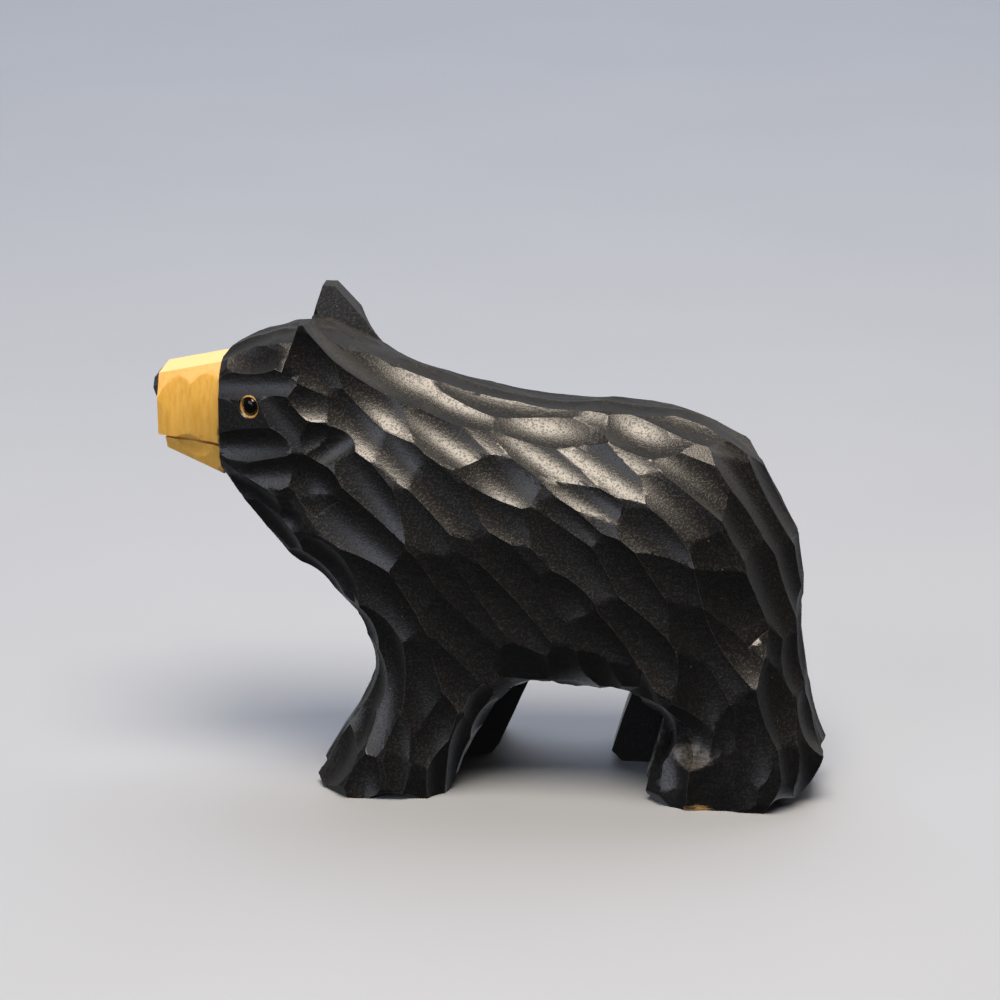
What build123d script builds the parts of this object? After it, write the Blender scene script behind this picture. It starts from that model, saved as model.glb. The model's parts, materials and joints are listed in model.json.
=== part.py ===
"""A small bear carved from one block of linden and painted black, with bead eyes.

The block is roughed out in flat planes and then gone over with a shallow gouge, whose scooped
cuts run back and down from the spine. The bear looks along -X and stands on Z = 0, its left side is
at -Y, and all sizes are in millimetres.
"""
from build123d import *
from math import cos, pi, radians, sin
import os

# ---- Lengths along the bear, added up from the nose back --------------------------------------
muzzle_length = 9.9        # nose to the step where the head begins
head_length = 18.0         # that step to the back of the ears
neck_length = 10.5         # back of the ears to the front of the shoulders
back_length = 39.0         # front of the shoulders to the top of the rump
rump_length = 13.5         # top of the rump to the tail
heel_overhang = 4.1        # how far the left heel stands out behind the rump

# ---- Heights above the ground -----------------------------------------------------------------
belly_height = 13.9
flank_height = 35.5        # where the trunk is widest
loin_height = 54.5         # lowest part of the back
shoulder_height = 58.3
head_height = 63.8         # top of the head between the ears
brow_height = 60.8         # brow, above the step down to the muzzle
cheek_height = 51.0        # where the head is widest
throat_height = 41.5       # underside of the head behind the jaw
right_ear_height = 67.4
left_ear_height = 66.0     # the carver took a little more off this one
left_ear_forward = 0.6     # and it stands this far in front of the right one

# ---- Half widths ------------------------------------------------------------------------------
haunch_half_width = 17.2
loin_half_width = 15.6
shoulder_half_width = 16.4
neck_half_width = 14.0
head_half_width = 12.2
brow_half_width = 7.8
rump_half_width = 6.5

# ---- How square the trunk is: 2 is an oval, larger numbers are closer to a box ----------------
back_squareness = 2.1
belly_squareness = 4.0
head_squareness = 2.8
facets_around = 20         # flat facets around each cross section

# ---- Muzzle, jaw and nose ---------------------------------------------------------------------
muzzle_half_width = 6.1
muzzle_front_half_width = 5.4
muzzle_bridge_half_width = 3.6
muzzle_top = 58.8          # at the step, falling towards the nose
muzzle_front_top = 56.9
bridge_bevel = 3.2         # height of the bevel from the bridge down to the side
mouth_back_height = 47.4
mouth_front_height = 48.5
jaw_front_depth = 2.4      # mouth to the underside of the jaw
lip_overhang = 0.5         # how far the upper lip stands out past the jaw on each side
jaw_setback = 0.9          # how far the front of the jaw lies behind the front of the lip
mouth_line_width = 0.5
mouth_line_depth = 1.2
nose_depth = 0.9           # how far the nose stands out of the muzzle's front
nose_height = 4.4
nose_front_half_width = 3.4

# ---- Eyes -------------------------------------------------------------------------------------
eye_bead_diameter = 2.6
eye_bead_rounding = 0.9    # leaves the bead's outer end as a dome
eye_clearance = 0.05       # between a bead and the wall of its socket
eye_socket_depth = 2.4
eye_socket_bevel = 0.35
eye_height = 54.0
eye_behind_step = 4.6
eye_half_spread = 9.5
eye_turn = 24.0            # degrees that each eye is turned forward of straight sideways

# ---- Ears -------------------------------------------------------------------------------------
ear_half_spread = 8.7      # centre of the head to the middle of each ear's tip
ear_tip_length = 1.7
ear_tip_width = 3.2
ear_root_inside = 3.4      # centre of the head to the inner side of the root
ear_root_outside = 11.4    # and to its outer side, in front
ear_root_taper = 2.8       # how much nearer the centre the outer side is at the back
ear_front_run = 4.0        # from the tip forward to the front of the root
ear_back_run = 12.6        # from the tip back to where the root runs out on the neck
ear_root_sink = 9.0        # how far the root starts below the top of the head

# ---- Legs and feet ----------------------------------------------------------------------------
front_leg_gap = 5.5        # between the left foreleg and the right one
hind_leg_gap = 3.0         # between the left hind leg and the right one
forefoot_half_spread = 17.5
hind_foot_half_spread = 17.0
leg_half_spread = 15.8
sole_bevel = 1.5
front_foot_length = 20.3
hind_foot_length = 25.1
heel_height = 6.8          # where the left heel stands out furthest
front_stride = 4.4         # how far the right forefoot is set back from the left one
hind_stride = 5.7          # how far the right hind foot is set forward of the left one

# ---- Gouge cuts -------------------------------------------------------------------------------
cut_radius = 8.0           # how round a cut is across its width
cut_length = 17.0
cut_depth = 0.8            # at the middle of a cut
cut_bow = 0.9              # how much shallower a cut is at its two ends
cut_wedge = 60.0           # degrees of the round that the cutting solid spans
small_cut_scale = 0.62     # cuts on the head and feet, against those on the trunk

# ---- Landmarks worked out from the sizes above ------------------------------------------------
total_length = muzzle_length + head_length + neck_length + back_length + rump_length + heel_overhang
nose_x = -total_length / 2
muzzle_front_x = nose_x + nose_depth
step_x = nose_x + muzzle_length
poll_x = step_x + head_length
shoulder_x = poll_x + neck_length
rump_x = shoulder_x + back_length
tail_x = rump_x + rump_length
heel_x = tail_x + heel_overhang
loin_x = shoulder_x + 0.45 * back_length
ear_x = poll_x - 5.5
hind_toe_x = heel_x - hind_foot_length
front_toe_x = shoulder_x - 14.5
front_heel_x = front_toe_x + front_foot_length
left, right = -1, 1


def superellipse(half_width, low, high, widest, round_above, round_below):
    """Corner points of one cross section, seen along X, with its widest points at one height."""
    points = []
    for index in range(facets_around):
        angle = 2 * pi * (index + 0.5) / facets_around
        across, up = cos(angle), sin(angle)
        squareness = round_above if up > 0 else round_below
        reach = high - widest if up > 0 else low - widest
        y = half_width * abs(across) ** (2 / squareness) * (1 if across > 0 else -1)
        points.append((y, widest + reach * abs(up) ** (2 / squareness)))
    return points


# ---- Trunk: throat, chest, shoulders, loin and rump -------------------------------------------
# Each station is (x, half width, lowest, highest, height where it is widest).
trunk_stations = [
    (step_x + 1.2, 6.4, throat_height - 1.4, 47.0, 43.5),
    (step_x + 5.4, 8.6, throat_height - 6.0, 50.0, 43.0),
    (step_x + 10.0, 11.0, throat_height - 10.0, 53.0, 42.5),
    (step_x + 14.5, 12.8, throat_height - 12.5, 56.0, 42.0),
    (poll_x + 1.5, neck_half_width, throat_height - 17.5, 60.6, 41.0),
    (poll_x + 3.6, 15.0, belly_height + 2.5, 60.2, 39.0),
    (shoulder_x, shoulder_half_width, belly_height, shoulder_height, 37.0),
    (shoulder_x + 9.0, 16.0, belly_height, loin_height + 1.1, flank_height),
    (loin_x, loin_half_width, belly_height, loin_height, flank_height),
    (rump_x - 14.0, 16.2, belly_height, loin_height, flank_height - 1.0),
    (rump_x - 4.6, haunch_half_width, belly_height, loin_height - 1.2, flank_height - 3.0),
    (rump_x + 1.5, 16.4, belly_height, loin_height - 2.8, 31.5),
    (rump_x + 7.0, 13.4, belly_height + 1.0, 47.8, 30.0),
    (tail_x - 2.6, 10.0, belly_height + 3.0, 40.2, 28.0),
    (tail_x, rump_half_width, belly_height + 5.0, 34.0, 27.0),
]

with BuildPart() as trunk:
    for x, half_width, low, high, widest in trunk_stations:
        with BuildSketch(Plane.YZ.offset(x)):
            Polygon(*superellipse(
                half_width, low, high, widest, back_squareness, belly_squareness), align=None)
    loft(ruled=True)

# ---- Head: brow, cheeks and poll, running out on top of the neck ------------------------------
head_stations = [
    (step_x, brow_half_width, throat_height + 0.6, brow_height - 1.2, cheek_height),
    (step_x + 1.2, brow_half_width + 0.7, throat_height - 0.6, brow_height, cheek_height),
    (step_x + 3.7, 9.9, throat_height - 3.0, brow_height + 1.2, cheek_height),
    (step_x + 8.5, head_half_width - 0.2, throat_height - 6.5, head_height - 0.4, cheek_height),
    (step_x + 14.0, head_half_width, throat_height - 8.5, head_height, cheek_height),
    (poll_x, head_half_width - 0.4, throat_height - 9.0, head_height - 1.8, cheek_height),
    (poll_x + 4.0, 10.4, throat_height - 8.0, shoulder_height + 2.0, cheek_height),
    (shoulder_x + 1.0, 6.0, throat_height - 6.0, shoulder_height - 2.5, cheek_height),
]

with BuildPart() as head:
    for x, half_width, low, high, widest in head_stations:
        with BuildSketch(Plane.YZ.offset(x)):
            Polygon(*superellipse(
                half_width, low, high, widest, head_squareness, head_squareness), align=None)
    loft(ruled=True)


def eye_plane(side):
    """The flat that the carver leaves for one eye, with the plane's Z pointing out of the head."""
    turn = radians(eye_turn)
    return Plane(
        origin=(step_x + eye_behind_step, side * eye_half_spread, eye_height),
        x_dir=(0, 0, 1),
        z_dir=(-sin(turn), side * cos(turn), 0),
    )


# ---- Ears: stubby four-sided horns, steep in front and running back along the neck ------------
def ear(side, tip_height, tip_x):
    """One ear as a tapering block from its root inside the head to its blunt tip."""
    root_front = tip_x - ear_front_run
    root_back = tip_x + ear_tip_length + ear_back_run
    tip_back = tip_x + ear_tip_length
    tip_inside = ear_half_spread - ear_tip_width / 2
    tip_outside = ear_half_spread + ear_tip_width / 2
    with BuildPart() as built:
        with BuildSketch(Plane.XY.offset(head_height - ear_root_sink)):
            Polygon(
                (root_front, side * ear_root_inside),
                (root_back, side * ear_root_inside),
                (root_back, side * (ear_root_outside - ear_root_taper)),
                (root_front, side * ear_root_outside),
                align=None,
            )
        with BuildSketch(Plane.XY.offset(tip_height)):
            Polygon(
                (tip_x, side * tip_inside),
                (tip_back, side * tip_inside),
                (tip_back, side * tip_outside),
                (tip_x, side * tip_outside),
                align=None,
            )
        loft(ruled=True)
    return built.part


# ---- Legs: one block each, from the sole up into the trunk ------------------------------------
def leg(stations, gap, stride, side):
    """Lofts one leg through its stations, moved along X by stride at the sole and not at the top."""
    top = stations[-1][0]
    with BuildPart() as built:
        for height, front, back, outside, corner in stations:
            shift = stride * (1 - (height / top) ** 2)
            with BuildSketch(Plane.XY.offset(height)):
                Polygon(*[(x + shift, side * y) for x, y in [
                    (front, gap / 2),
                    (back, gap / 2),
                    (back, outside - corner),
                    (back - corner, outside),
                    (front + corner, outside),
                    (front, outside - corner),
                ]], align=None)
        loft(ruled=True)
    return built.part


front_leg_stations = [
    (0.0, front_toe_x + sole_bevel, front_heel_x - 1.8, forefoot_half_spread - 0.3, 3.5),
    (sole_bevel, front_toe_x, front_heel_x - 0.7, forefoot_half_spread, 4.5),
    (6.0, front_toe_x + 2.6, front_heel_x + 1.4, forefoot_half_spread - 0.4, 5.0),
    (9.0, front_toe_x + 4.6, front_heel_x + 2.8, leg_half_spread + 0.8, 5.0),
    (12.5, front_toe_x + 6.3, front_heel_x + 4.6, leg_half_spread + 0.3, 5.0),
    (16.0, front_toe_x + 7.2, front_heel_x + 8.0, leg_half_spread, 5.0),
    (20.0, front_toe_x + 7.4, front_heel_x + 11.0, leg_half_spread + 0.1, 5.5),
    (27.0, front_toe_x + 8.6, front_heel_x + 11.5, leg_half_spread + 0.2, 7.0),
    (38.0, front_toe_x + 12.0, front_heel_x + 10.0, leg_half_spread - 1.5, 8.0),
]
hind_leg_stations = [
    (0.0, hind_toe_x + sole_bevel, heel_x - 4.4, hind_foot_half_spread - 0.4, 3.5),
    (sole_bevel, hind_toe_x, heel_x - 2.8, hind_foot_half_spread, 4.0),
    (heel_height, hind_toe_x + 1.4, heel_x, hind_foot_half_spread, 5.0),
    (heel_height + 4.5, hind_toe_x + 2.6, heel_x - 1.8, hind_foot_half_spread - 0.6, 5.5),
    (heel_height + 8.5, hind_toe_x - 3.6, heel_x - 3.0, hind_foot_half_spread - 0.5, 6.0),
    (24.0, hind_toe_x - 7.5, heel_x - 4.3, hind_foot_half_spread - 0.3, 6.5),
    (36.0, hind_toe_x - 9.0, heel_x - 6.5, leg_half_spread - 0.4, 7.5),
]

# ---- Muzzle with the nose end cut off flat and the mouth carved as a thin line ----------------
mouth_slope = (mouth_front_height - mouth_back_height) / (step_x - muzzle_front_x)
jaw_front_x = muzzle_front_x + jaw_setback


def mouth_height(x):
    """Height of the mouth line at a place along the bear."""
    return mouth_front_height - mouth_slope * (x - muzzle_front_x)


with BuildPart() as muzzle_block:
    for x, half_width, high in [
        (muzzle_front_x, muzzle_front_half_width, muzzle_front_top),
        (step_x, muzzle_half_width, muzzle_top),
    ]:
        with BuildSketch(Plane.YZ.offset(x)):
            Polygon(
                (-muzzle_bridge_half_width, high),
                (muzzle_bridge_half_width, high),
                (half_width, high - bridge_bevel),
                (half_width - 0.2, mouth_height(x)),
                (0.2 - half_width, mouth_height(x)),
                (-half_width, high - bridge_bevel),
                align=None,
            )
    loft(ruled=True)
    for x, half_width, low in [
        (jaw_front_x, muzzle_front_half_width, mouth_front_height - jaw_front_depth),
        (step_x, muzzle_half_width, throat_height + 1.1),
    ]:
        with BuildSketch(Plane.YZ.offset(x)):
            Polygon(
                (half_width - lip_overhang, mouth_height(x)),
                (lip_overhang - half_width, mouth_height(x)),
                (-0.62 * half_width, low),
                (0.62 * half_width, low),
                align=None,
            )
    loft(ruled=True)

with BuildPart() as muzzle_core:
    with BuildSketch(Plane.XY.offset(throat_height)):
        with Locations((muzzle_front_x + mouth_line_depth, 0)):
            Rectangle(
                muzzle_length,
                2 * (muzzle_front_half_width - mouth_line_depth),
                align=(Align.MIN, Align.CENTER),
            )
    extrude(amount=muzzle_top - throat_height)

# The mouth line runs round the sides and the front, and stops at the core.
with BuildPart() as mouth_line:
    with BuildSketch(Plane.XZ):
        Polygon(
            (nose_x, mouth_height(nose_x)),
            (step_x, mouth_height(step_x)),
            (step_x, mouth_height(step_x) - mouth_line_width),
            (nose_x, mouth_height(nose_x) - mouth_line_width),
            align=None,
        )
    extrude(amount=2 * muzzle_half_width, both=True)
    add(muzzle_core.part, mode=Mode.SUBTRACT)

with BuildPart() as muzzle:
    add(muzzle_block.part)
    add(mouth_line.part, mode=Mode.SUBTRACT)

with BuildPart() as nose:
    for x, half_width, low, high in [
        (nose_x, nose_front_half_width, muzzle_front_top - nose_height + 0.6, muzzle_front_top - 1.0),
        (muzzle_front_x, muzzle_front_half_width - 0.6, muzzle_front_top - nose_height,
         muzzle_front_top - 0.2),
    ]:
        with BuildSketch(Plane.YZ.offset(x)):
            Polygon(
                (-0.7 * half_width, high),
                (0.7 * half_width, high),
                (half_width, high - 1.2),
                (0.5 * half_width, low),
                (-0.5 * half_width, low),
                (-half_width, high - 1.2),
                align=None,
            )
    loft(ruled=True)



# ---- Eyes: a bead with a domed end, pressed to the bottom of a drilled and bevelled socket -----
def socket(side):
    """The drilled hole and the bevel round its mouth, as the solid that is cut away."""
    with BuildPart() as built:
        with BuildSketch(eye_plane(side).offset(-eye_socket_depth)):
            Circle(eye_bead_diameter / 2 + eye_clearance)
        extrude(amount=eye_socket_depth + 1)
        for height, radius in [
            (-eye_socket_bevel, eye_bead_diameter / 2 + eye_clearance),
            (1.0, eye_bead_diameter / 2 + eye_clearance + eye_socket_bevel + 1.0),
        ]:
            with BuildSketch(eye_plane(side).offset(height)):
                Circle(radius)
        loft()
    return built.part


def bead(side):
    """The bead standing on the floor of its socket, with its rim rounded off into a dome."""
    floor = eye_plane(side).offset(-eye_socket_depth)
    with BuildPart() as built:
        with BuildSketch(floor):
            Circle(eye_bead_diameter / 2)
        extrude(amount=eye_socket_depth)
        outer_face = built.faces().sort_by(Axis(floor.origin, floor.z_dir))[-1]
        fillet(outer_face.edges(), radius=eye_bead_rounding)
    return built.part


# ---- Gouge cuts: where each one lies on the rough block ----------------------------------------
def skin_point(stations, round_above, round_below, x, turn):
    """A point on the right side of a lofted form; turn is 0 where it is widest and 90 on top."""
    for before, after in zip(stations, stations[1:]):
        if x <= after[0]:
            break
    share = (x - before[0]) / (after[0] - before[0])
    half_width, low, high, widest = [a + share * (b - a) for a, b in zip(before[1:], after[1:])]
    across, up = cos(radians(turn)), sin(radians(turn))
    squareness = round_above if up > 0 else round_below
    reach = high - widest if up > 0 else low - widest
    return Vector(
        x,
        half_width * across ** (2 / squareness),
        widest + reach * abs(up) ** (2 / squareness),
    )


def cut_plane(here, out, stroke, side, scale):
    """Frame of one gouge cut: X along the stroke, Z out of the wood, origin at the round's axis."""
    lift = scale * (cut_radius - cut_depth)
    centre = here + out.normalized() * lift
    return Plane(
        origin=(centre.X, side * centre.Y, centre.Z),
        x_dir=(stroke.X, side * stroke.Y, stroke.Z),
        z_dir=(out.X, side * out.Y, out.Z),
    )


def cut_on_form(stations, round_above, round_below, x, turn, slant, side, scale=1.0):
    """A cut on a lofted form, whose stroke runs back along the bear and down by slant degrees."""
    little_back, little_turn = 1.5, 5.0
    here = skin_point(stations, round_above, round_below, x, turn)
    back = skin_point(stations, round_above, round_below, x + little_back, turn) - here
    down = skin_point(stations, round_above, round_below, x, turn - little_turn) - here
    back, down = back.normalized(), down.normalized()
    out = back.cross(down)
    stroke = back * cos(radians(slant)) + down * sin(radians(slant))
    return cut_plane(here, out, stroke, side, scale)


def cut_on_leg(stations, stride, side, height, share, lean):
    """A cut on the outer face of a leg, whose stroke runs back and down by lean degrees."""
    for below, above in zip(stations, stations[1:]):
        if height <= above[0]:
            break
    part_way = (height - below[0]) / (above[0] - below[0])
    front, back, outside, corner = [a + part_way * (b - a) for a, b in zip(below[1:], above[1:])]
    shift = stride * (1 - (height / stations[-1][0]) ** 2)
    x = front + corner + share * (back - front - 2 * corner) + shift
    slope = (above[3] - below[3]) / (above[0] - below[0])
    out = Vector(0, 1, -slope)
    stroke = Vector(cos(radians(lean)), -slope * sin(radians(lean)), -sin(radians(lean)))
    return cut_plane(Vector(x, outside, height), out, stroke, side, small_cut_scale)


trunk_form = (trunk_stations, back_squareness, belly_squareness)
head_form = (head_stations, head_squareness, head_squareness)
broad_cuts = []
small_cuts = []
for side in (left, right):
    # Rows on the trunk: (turn, slant, first x, last x, cuts in the row).
    for turn, slant, first, last, count in [
        (84, 5, poll_x + 15.0, rump_x + 1.0, 4),
        (66, 14, poll_x + 13.0, rump_x + 4.0, 5),
        (46, 30, poll_x + 12.0, rump_x + 5.0, 7),
        (23, 42, poll_x + 7.5, rump_x + 5.0, 8),
        (2, 50, poll_x + 4.0, rump_x + 4.0, 8),
        (-9, 54, poll_x + 6.0, rump_x - 2.0, 6),
        (-30, 58, shoulder_x + 14.5, rump_x - 12.0, 2),
        (-66, 70, shoulder_x + 17.0, rump_x - 12.0, 2),
    ]:
        for index in range(count):
            x = first + index * (last - first) / (count - 1)
            broad_cuts.append(cut_on_form(*trunk_form, x, turn, slant, side))
    # Cuts that run down the rump.
    for turn in (72, 46, 20):
        broad_cuts.append(cut_on_form(*trunk_form, tail_x - 5.0, turn, 6, side))
    # Chest and throat, with the small gouge: (x, turn, slant).
    for x, turn, slant in [
        (step_x + 8.0, -42, 10),
        (step_x + 13.5, -50, 10),
        (step_x + 11.0, -84, 0),
        (poll_x + 0.5, -84, 0),
    ]:
        small_cuts.append(cut_on_form(*trunk_form, x, turn, slant, side, small_cut_scale))
    # Cheek, brow and crown: (x, turn, slant).
    for x, turn, slant in [
        (step_x + 2.6, 74, 0),
        (step_x + 5.4, 50, 12),
        (step_x + 7.6, 80, 0),
        (step_x + 11.0, 4, 60),
        (step_x + 6.6, -16, 40),
        (step_x + 12.5, -14, 50),
        (poll_x - 1.5, 14, 60),
    ]:
        small_cuts.append(cut_on_form(*head_form, x, turn, slant, side, small_cut_scale))
# Outer faces of the legs: (height, share of the way from toe to heel, lean of the stroke).
front_leg_places = [(24, 0.3, 70), (17, 0.3, 80), (10.5, 0.1, 100), (19, 0.85, 70), (10.5, 0.75, 100)]
hind_leg_places = [(27, 0.25, 60), (22, 0.55, 62), (26, 0.9, 75), (14, 0.3, 40), (15, 0.85, 70)]
for stations, stride, side, places in [
    (front_leg_stations, 0.0, left, front_leg_places),
    (front_leg_stations, front_stride, right, front_leg_places),
    (hind_leg_stations, 0.0, left, hind_leg_places),
    (hind_leg_stations, -hind_stride, right, hind_leg_places),
]:
    for height, share, lean in places:
        small_cuts.append(cut_on_leg(stations, stride, side, height, share, lean))


def gouge(scale):
    """The wood that one push of the gouge lifts out, centred on the axis of its round."""
    half_length, radius = scale * cut_length / 2, scale * cut_radius
    end_radius = radius - scale * cut_bow
    with BuildPart() as built:
        with BuildSketch(Plane.XZ):
            with BuildLine():
                ThreePointArc((-half_length, -end_radius), (0, -radius), (half_length, -end_radius))
                Polyline(
                    (half_length, -end_radius),
                    (half_length, -radius / 2),
                    (-half_length, -radius / 2),
                    (-half_length, -end_radius),
                )
            make_face()
        revolve(axis=Axis.X, revolution_arc=cut_wedge)
    return built.part.rotate(Axis.X, -cut_wedge / 2)


# ---- Everything that is one block of wood behind the muzzle -----------------------------------
with BuildPart() as gouged_block:
    add(head.part)
    for side in (left, right):
        split(bisect_by=eye_plane(side), keep=Keep.BOTTOM)
    add(trunk.part)
    add(ear(left, left_ear_height, ear_x - left_ear_forward))
    add(ear(right, right_ear_height, ear_x))
    add(leg(front_leg_stations, front_leg_gap, 0.0, left))
    add(leg(front_leg_stations, front_leg_gap, front_stride, right))
    add(leg(hind_leg_stations, hind_leg_gap, 0.0, left))
    add(leg(hind_leg_stations, hind_leg_gap, -hind_stride, right))
    with Locations(*broad_cuts):
        add(gouge(1.0), mode=Mode.SUBTRACT)
    with Locations(*small_cuts):
        add(gouge(small_cut_scale), mode=Mode.SUBTRACT)
    for side in (left, right):
        add(socket(side), mode=Mode.SUBTRACT)

# Chips that the cuts free between them fall away, and the block stays.
with BuildPart() as carved_body:
    add(gouged_block.part.solids().sort_by(SortBy.VOLUME)[-1])

with BuildPart() as left_eye:
    add(bead(left))

with BuildPart() as right_eye:
    add(bead(right))

os.makedirs("parts", exist_ok=True)
carved_body.part.label = "carved_body"
export_step(carved_body.part, "parts/carved_body.step")
muzzle.part.label = "muzzle"
export_step(muzzle.part, "parts/muzzle.step")
nose.part.label = "nose"
export_step(nose.part, "parts/nose.step")
left_eye.part.label = "left_eye"
export_step(left_eye.part, "parts/left_eye.step")
right_eye.part.label = "right_eye"
export_step(right_eye.part, "parts/right_eye.step")
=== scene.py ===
"""Looks of a small carved bear: a gouge-cut linden block, painted black, with bead eyes.

Sizes in the panel and in the lists of cuts are millimetres. Blender's own units are metres.
The bear looks along -X and stands on Z = 0, and its left side is at -Y.
"""
import json
import math

import bmesh
import bpy
import numpy as np
from bpy.props import FloatProperty, FloatVectorProperty, IntProperty, PointerProperty
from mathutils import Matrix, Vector
from mathutils.bvhtree import BVHTree
from mathutils.kdtree import KDTree

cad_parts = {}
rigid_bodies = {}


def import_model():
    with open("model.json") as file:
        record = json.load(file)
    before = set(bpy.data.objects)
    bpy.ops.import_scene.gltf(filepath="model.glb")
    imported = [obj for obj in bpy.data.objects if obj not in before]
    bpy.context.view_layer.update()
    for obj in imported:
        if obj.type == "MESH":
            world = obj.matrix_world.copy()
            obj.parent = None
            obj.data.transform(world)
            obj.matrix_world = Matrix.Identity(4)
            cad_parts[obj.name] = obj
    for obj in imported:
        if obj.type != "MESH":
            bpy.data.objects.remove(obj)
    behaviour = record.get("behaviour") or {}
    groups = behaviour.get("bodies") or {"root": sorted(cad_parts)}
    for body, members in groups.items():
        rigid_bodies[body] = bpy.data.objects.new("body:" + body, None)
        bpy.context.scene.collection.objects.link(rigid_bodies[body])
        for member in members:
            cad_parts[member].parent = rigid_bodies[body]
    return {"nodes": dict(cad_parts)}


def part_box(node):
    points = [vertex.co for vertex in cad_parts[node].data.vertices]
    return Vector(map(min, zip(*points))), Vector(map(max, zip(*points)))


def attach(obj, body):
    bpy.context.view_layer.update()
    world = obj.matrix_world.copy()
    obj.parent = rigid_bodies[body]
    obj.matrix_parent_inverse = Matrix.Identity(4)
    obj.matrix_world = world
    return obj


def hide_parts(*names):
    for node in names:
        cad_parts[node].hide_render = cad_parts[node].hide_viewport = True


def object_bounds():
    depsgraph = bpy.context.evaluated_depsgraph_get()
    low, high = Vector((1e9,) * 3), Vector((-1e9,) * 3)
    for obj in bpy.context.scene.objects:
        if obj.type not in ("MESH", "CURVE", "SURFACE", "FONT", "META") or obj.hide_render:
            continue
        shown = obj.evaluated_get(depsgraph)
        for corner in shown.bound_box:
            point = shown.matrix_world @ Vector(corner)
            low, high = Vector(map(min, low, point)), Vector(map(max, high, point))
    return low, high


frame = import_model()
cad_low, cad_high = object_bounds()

bl_info = {
    "name": "Carved bear",
    "version": (1, 0, 0),
    "blender": (4, 5, 0),
    "location": "3D View > Sidebar > Bear",
    "description": "Carves, paints and sets up a small wooden bear around its CAD solids",
    "category": "Object",
}

MM = 0.001
nose_x = cad_low.x
step_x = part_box("muzzle")[1].x          # where the head block begins
eye_boxes = {node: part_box(node) for node in ("left_eye", "right_eye")}
eye_turn = math.radians(24)             # how far each eye looks forward of straight sideways
instep_tear = (nose_x + 76 * MM, cad_low.y + 1.5 * MM, 7.6 * MM)
sole_chip = (nose_x + 77.5 * MM, cad_low.y + 1.5 * MM, 0)


# ---- Colours ----------------------------------------------------------------------------------
def linear(hex_colour):
    """An sRGB colour such as "#808080" as the linear red, green and blue that shaders use."""
    channels = [int(hex_colour[place:place + 2], 16) / 255 for place in (1, 3, 5)]
    return tuple(c / 12.92 if c <= 0.04045 else ((c + 0.055) / 1.055) ** 2.4 for c in channels)


def rgba(colour):
    """The same colour with full alpha, for a shader's socket."""
    return (*colour, 1.0)


def colour_setting(name, description, hex_colour):
    """A colour for the panel."""
    return FloatVectorProperty(name=name, description=description, subtype="COLOR", size=3,
                               min=0, max=1, default=linear(hex_colour))


def size_setting(name, description, default):
    """A size in millimetres for the panel."""
    return FloatProperty(name=name, description=description, default=default, min=0, precision=2)


class BearCarvingSettings(bpy.types.PropertyGroup):
    """How the block is gone over with the gouge."""
    level: size_setting("Level", "How far the ridges between cuts lie below the block, mm", 0.42)
    seed: IntProperty(name="Seed", description="Which of the possible carvings this is", default=4)
    wander: size_setting("Wander", "How far a cut strays from its neighbours' line, mm", 0.9)
    roll: FloatProperty(name="Roll", description="How far the gouge tips to either side",
                        default=math.radians(5), subtype="ANGLE")


class BearPaintSettings(bpy.types.PropertyGroup):
    """The finishes."""
    black: colour_setting("Black", "Satin black paint", "#0a0a0b")
    # Grey for the ridges: partly paint thinned by wear, partly a painted highlight along the edges.
    rubbed_and_highlight: colour_setting("Rubbed black", "Paint rubbed thin along the ridges", "#4b4740")
    linden: colour_setting("Linden", "Bare wood at the eyes and chips", "#b98d4e")
    ochre: colour_setting("Ochre", "Paint on the muzzle", "#d3a54b")
    # Painted highlight: a paler ochre that the muzzle's upward faces are mixed towards, standing in
    # for light from above.
    ochre_painted_highlight: colour_setting("Pale ochre", "The same paint on the bridge", "#dbb67f")
    backdrop: colour_setting("Backdrop", "The paper that the bear stands on", "#9da1a8")


# ---- The gouge --------------------------------------------------------------------------------
# Each way of looking at the block: the direction looked along, and the two directions of a
# stroke's places, which are measured from the nose back, from the middle across or from the
# ground up.
views = {
    "left": ((0, 1, 0), (1, 0, 0), (0, 0, 1)),
    "right": ((0, -1, 0), (1, 0, 0), (0, 0, 1)),
    "top": ((0, 0, -1), (1, 0, 0), (0, 1, 0)),
    "below": ((0, 0, 1), (1, 0, 0), (0, 1, 0)),
    "front": ((1, 0, 0), (0, 1, 0), (0, 0, 1)),
    "behind": ((-1, 0, 0), (0, 1, 0), (0, 0, 1)),
}
far_away = 200 * MM
widest_cut = 8 * MM
spine_level = -0.15                     # the level of cuts along the spine, which are shallower, mm
muzzle_level = 0.08                     # and of the cuts on the muzzle

# Strokes on the side: back from the nose and up at the start, the same at the end, and width.
neck_strokes = [
    (32.0, 52.6, 39.7, 45.2, 4.8), (35.9, 57.0, 45.7, 46.5, 5.7), (34.9, 57.6, 48.0, 52.0, 2.3),
    (27.9, 61.7, 37.8, 56.8, 3.4), (37.2, 58.4, 47.4, 54.7, 3.1), (40.5, 56.6, 50.7, 54.3, 2.8),
]
back_strokes = [
    (46.8, 52.3, 57.5, 44.5, 6.0), (60.3, 51.1, 75.6, 42.1, 6.6), (71.4, 50.8, 80.3, 44.6, 5.7),
    (58.2, 46.2, 65.3, 42.2, 3.1), (45.8, 43.9, 54.4, 37.3, 5.1), (56.4, 42.9, 64.0, 36.8, 3.4),
    (50.2, 54.5, 59.7, 52.7, 2.8), (51.2, 52.1, 60.6, 50.7, 3.7), (59.6, 53.7, 68.6, 52.1, 2.8),
    (65.7, 52.0, 71.6, 50.0, 2.8), (68.9, 52.8, 78.6, 50.2, 3.7), (76.4, 51.8, 82.8, 46.8, 3.4),
]
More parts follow.
